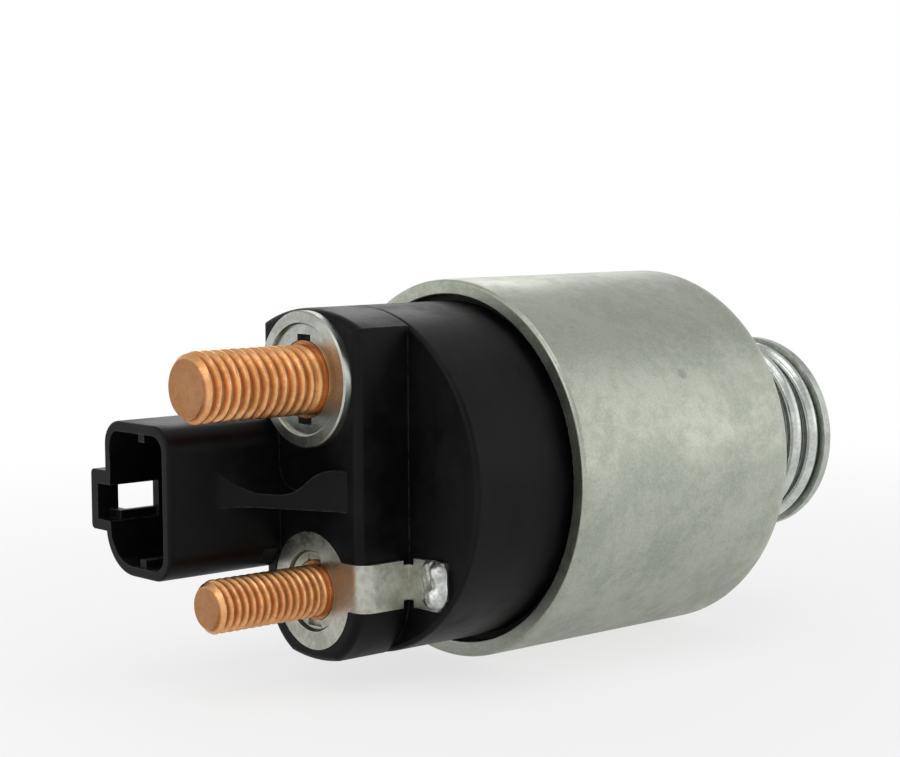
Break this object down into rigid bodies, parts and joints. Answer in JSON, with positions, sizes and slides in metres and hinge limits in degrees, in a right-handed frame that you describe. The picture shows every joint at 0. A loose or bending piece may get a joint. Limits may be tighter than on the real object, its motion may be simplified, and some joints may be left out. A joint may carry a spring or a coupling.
{
  "type": "starter solenoid",
  "caption": "Starter motor solenoid switch: steel can with plunger and return spring, moulded cap with threaded contact studs and a plug socket.",
  "frame": {"origin": "centre of the circle of mounting holes, on the can's mounting face", "axes": "+X along the plunger, out of the mounting face; +Z from the smaller stud to the larger one; -Y is the side away from the plug socket"},
  "size_m": [0.0995, 0.0454, 0.0454],
  "materials": {
    "zinc_steel": "zinc plated, satin, faintly blotchy",
    "zinc_bright": "bright zinc plated",
    "black_plastic": "satin black, glass-filled",
    "copper": "bare copper",
    "enamelled_copper": "copper wire with clear enamel",
    "tinned_metal": "tin plated",
    "solder": "bright solder",
    "seal_rubber": "black rubber",
    "bare_steel": "plain machined steel",
    "spring_steel": "zinc plated spring steel",
    "brass_sheet": "drawn brass",
    "bobbin_plastic": "natural nylon",
    "bush_plastic": "brown moulded resin"
  },
  "bodies": {
    "housing": {"can": "zinc_steel", "cap": "black_plastic", "battery_stud": "copper", "battery_stud_washer": "zinc_bright", "battery_stud_seal": "seal_rubber", "motor_stud": "copper", "motor_stud_washer": "tinned_metal", "motor_stud_seal": "seal_rubber", "terminal_strip": "tinned_metal", "solder_joint": "solder", "winding_lead": "enamelled_copper", "signal_lead": "enamelled_copper", "signal_terminal": "tinned_metal", "gasket": "seal_rubber", "flux_plate": "bare_steel", "fixed_core": "bare_steel", "guide_sleeve": "brass_sheet", "bobbin": "bobbin_plastic", "pull_in_winding": "enamelled_copper", "hold_in_winding": "enamelled_copper", "return_spring": "spring_steel", "rod_return_spring": "spring_steel"},
    "plunger_set": {"plunger": "bare_steel", "spring_cup": "zinc_bright", "retaining_ring": "spring_steel"},
    "rod_set": {"contact_rod": "bare_steel", "rod_clip": "spring_steel", "contact_spring": "spring_steel"},
    "contact_bridge": {"contact_plate": "copper", "contact_bush": "bush_plastic"}
  },
  "joints": [
    {"name": "plunger_slide", "type": "slide", "parent": "housing", "child": "plunger_set", "axis": [1, 0, 0], "range_m": [-0.0095, 0], "stiffness_N_per_m": 4500, "deforming": ["return_spring"]},
    {"name": "contact_rod_slide", "type": "slide", "parent": "housing", "child": "rod_set", "axis": [1, 0, 0], "range_m": [-0.00286, 0], "deforming": ["rod_return_spring"]},
    {"name": "contact_plate_slide", "type": "slide", "parent": "rod_set", "child": "contact_bridge", "axis": [1, 0, 0], "range_m": [0, 0.00058], "deforming": ["contact_spring"]}
  ],
  "couplings": [
    {"joint": "contact_rod_slide", "follows": "plunger_slide", "ratio": 0.3},
    {"joint": "contact_plate_slide", "follows": "plunger_slide", "ratio": -0.06}
  ]
}
